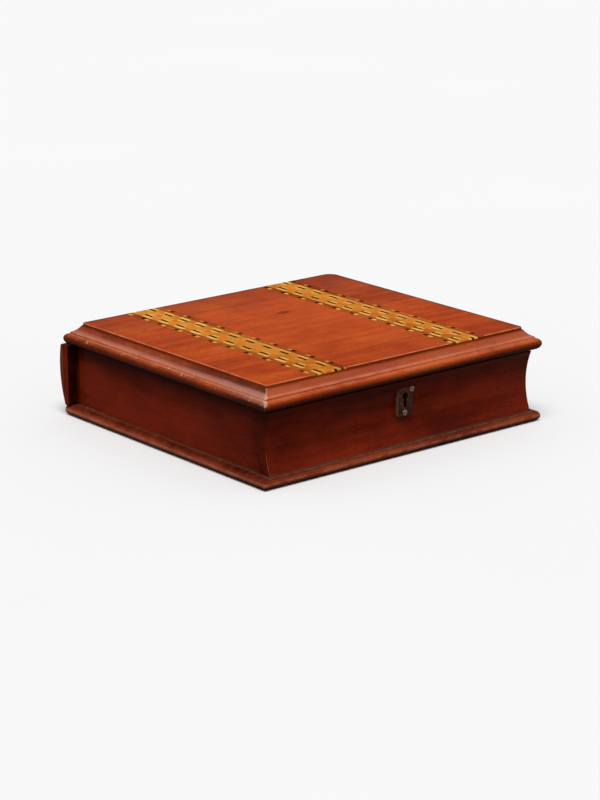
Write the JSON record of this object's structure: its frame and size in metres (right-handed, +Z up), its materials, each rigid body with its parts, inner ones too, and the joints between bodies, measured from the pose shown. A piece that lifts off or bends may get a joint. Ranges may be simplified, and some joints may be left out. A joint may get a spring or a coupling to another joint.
{
  "type": "antique glove box",
  "caption": "Flat mahogany glove box shaped like a closed book: moulded lid with inlaid bands hinged at a rounded spine, hollowed front with a keyhole and a sliding-bolt lock.",
  "frame": {"origin": "middle of the base board's underside", "axes": "+Z up; -Y is the keyhole side; +Y is the spine and hinge side; +X is to the right when facing the keyhole"},
  "size_m": [0.28, 0.2628, 0.077],
  "materials": {
    "mahogany": "worn french polish, red-brown",
    "mahogany_dark": "french polish over dark red stain",
    "boxwood": "polished boxwood, yellowed",
    "ebony": "polished ebony",
    "red_wood": "polished red hardwood",
    "brass": "dull, tarnished",
    "old_brass": "dark brown patina, worn bright at the edges",
    "steel": "dull steel",
    "lining_cloth": "cotton velvet, deep red"
  },
  "bodies": {
    "box": {"base_board": "mahogany", "front_wall": "mahogany_dark", "end_wall_left": "mahogany_dark", "end_wall_right": "mahogany_dark", "back_wall": "mahogany_dark", "spine_board": "mahogany_dark", "floor_lining": "lining_cloth", "hinge_body_leaf_left": "brass", "hinge_body_leaf_right": "brass", "hinge_pin_left": "brass", "hinge_pin_right": "brass", "hinge_body_screws": "brass", "lock_case": "brass", "lock_cap": "brass", "lock_drill_pin": "steel", "lock_spring": "steel", "lock_screws": "steel", "escutcheon": "old_brass", "escutcheon_screws": "old_brass"},
    "lid": {"lid_board": "mahogany", "lid_moulding_front": "mahogany", "lid_moulding_back": "mahogany", "lid_moulding_left": "mahogany", "lid_moulding_right": "mahogany", "inlay_ground_left": "boxwood", "inlay_ground_right": "boxwood", "inlay_ebony_left": "ebony", "inlay_ebony_right": "ebony", "inlay_squares_left": "red_wood", "inlay_squares_right": "red_wood", "hinge_lid_leaf_left": "brass", "hinge_lid_leaf_right": "brass", "hinge_lid_screws": "brass", "link_plate": "brass", "link_screws": "brass", "lid_lining": "lining_cloth"},
    "bolt": {"lock_bolt": "brass"}
  },
  "joints": [
    {"name": "lid_hinge", "type": "hinge", "parent": "box", "child": "lid", "pos_m": [0, 0.1285, 0.05825], "axis": [-1, 0, 0], "range_deg": [0, 95]},
    {"name": "bolt_slide", "type": "slide", "parent": "box", "child": "bolt", "axis": [1, 0, 0], "range_m": [0, 0.005]}
  ]
}
